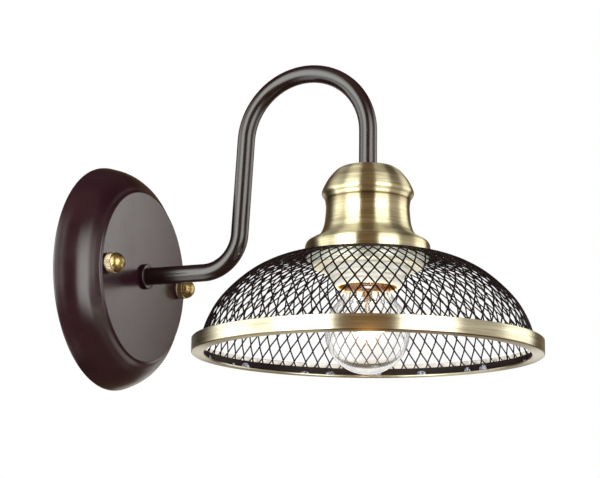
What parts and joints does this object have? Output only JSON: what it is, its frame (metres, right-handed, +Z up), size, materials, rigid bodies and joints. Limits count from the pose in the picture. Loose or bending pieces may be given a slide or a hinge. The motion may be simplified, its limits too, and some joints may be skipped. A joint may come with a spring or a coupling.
{
  "type": "wall sconce",
  "caption": "Gooseneck wall light with a round wall plate, a curved tube arm, a turned brass cap, an open domed wire-mesh shade with a brass rim, and a clear bulb.",
  "frame": {"origin": "on the wall, at the centre of the wall plate and of the bracket's back face, on the axis of the arm's wall end", "axes": "+Z up; +Y into the wall, so the arm and the shade reach out along -Y; +X to the right for someone who faces the wall"},
  "size_m": [0.226, 0.303, 0.2168],
  "materials": {
    "dark_bronze_paint": "satin dark bronze paint",
    "mesh_paint": "satin dark bronze paint on wire mesh",
    "antique_brass": "lacquered antique brass with fine turned brushing",
    "contact_brass": "bare bright brass",
    "lamp_cap_brass": "rolled bright brass",
    "zinc_steel": "zinc plate",
    "tinned_metal": "dull tin",
    "white_plastic": "satin moulded plastic",
    "block_plastic": "natural nylon",
    "black_plastic": "moulded",
    "holder_ceramic": "unglazed steatite",
    "black_glass": "fused black glass",
    "clear_glass": "clear blown glass",
    "lead_copper": "drawn copper-clad wire",
    "lit_filament": "glowing tungsten",
    "support_wire": "drawn molybdenum wire",
    "brown_insulation": "extruded",
    "blue_insulation": "extruded",
    "green_insulation": "extruded, green with a yellow stripe"
  },
  "bodies": {
    "fixture": {"backplate": "dark_bronze_paint", "wall_bracket": "zinc_steel", "left_stud": "zinc_steel", "right_stud": "zinc_steel", "stud_lock_nuts": "zinc_steel", "terminal_block": "block_plastic", "terminal_tubes": "contact_brass", "terminal_screws": "zinc_steel", "terminal_fixing_screw": "zinc_steel", "earth_screw": "contact_brass", "earth_lug": "tinned_metal", "live_wire": "brown_insulation", "neutral_wire": "blue_insulation", "earth_wire": "green_insulation", "arm_tube": "dark_bronze_paint", "arm_collar": "dark_bronze_paint", "arm_nipple": "zinc_steel", "arm_lock_washer": "zinc_steel", "arm_lock_nut": "zinc_steel", "nipple_bush": "black_plastic", "head_nipple": "zinc_steel", "cap_lock_washer": "zinc_steel", "cap_lock_nut": "zinc_steel", "socket_cap": "antique_brass", "shade_mesh": "mesh_paint", "rim_band": "antique_brass", "gallery_cup": "antique_brass", "holder_dome": "white_plastic", "grub_screw": "zinc_steel", "holder_insert": "holder_ceramic", "holder_terminals": "contact_brass", "holder_terminal_screws": "zinc_steel", "contact_rivets": "contact_brass", "centre_contact": "contact_brass", "holder_screw_shell": "contact_brass", "holder_skirt": "white_plastic", "shade_ring": "white_plastic"},
    "bulb_carrier": {"bulb_tip_contact": "tinned_metal"},
    "bulb": {"bulb_insulator": "black_glass", "bulb_screw_shell": "lamp_cap_brass", "bulb_glass": "clear_glass", "bulb_stem": "clear_glass", "bulb_lead_wires": "lead_copper", "bulb_filament": "lit_filament", "filament_supports": "support_wire"},
    "left_nut_carrier": {"left_washer": "zinc_steel"},
    "left_nut": {"left_finial": "antique_brass"},
    "right_nut_carrier": {"right_washer": "zinc_steel"},
    "right_nut": {"right_finial": "antique_brass"}
  },
  "joints": [
    {"name": "bulb_travel", "type": "slide", "parent": "fixture", "child": "bulb_carrier", "axis": [0, 0, -1], "range_m": [0, 0.0146]},
    {"name": "bulb_turn", "type": "hinge", "parent": "bulb_carrier", "child": "bulb", "pos_m": [0, -0.19, 0.0137], "axis": [0, 0, -1], "range_deg": [0, 1440]},
    {"name": "left_finial_travel", "type": "slide", "parent": "fixture", "child": "left_nut_carrier", "axis": [0, -1, 0], "range_m": [0, 0.005]},
    {"name": "left_finial_turn", "type": "hinge", "parent": "left_nut_carrier", "child": "left_nut", "pos_m": [-0.0511, -0.0268, 0], "axis": [0, -1, 0], "range_deg": [0, 2520]},
    {"name": "right_finial_travel", "type": "slide", "parent": "fixture", "child": "right_nut_carrier", "axis": [0, -1, 0], "range_m": [0, 0.005]},
    {"name": "right_finial_turn", "type": "hinge", "parent": "right_nut_carrier", "child": "right_nut", "pos_m": [0.0511, -0.0268, 0], "axis": [0, -1, 0], "range_deg": [0, 2520]}
  ],
  "couplings": [
    {"joint": "bulb_travel", "follows": "bulb_turn", "m_per_rad": 0.00057757},
    {"joint": "left_finial_travel", "follows": "left_finial_turn", "m_per_rad": 0.00011141},
    {"joint": "right_finial_travel", "follows": "right_finial_turn", "m_per_rad": 0.00011141}
  ]
}
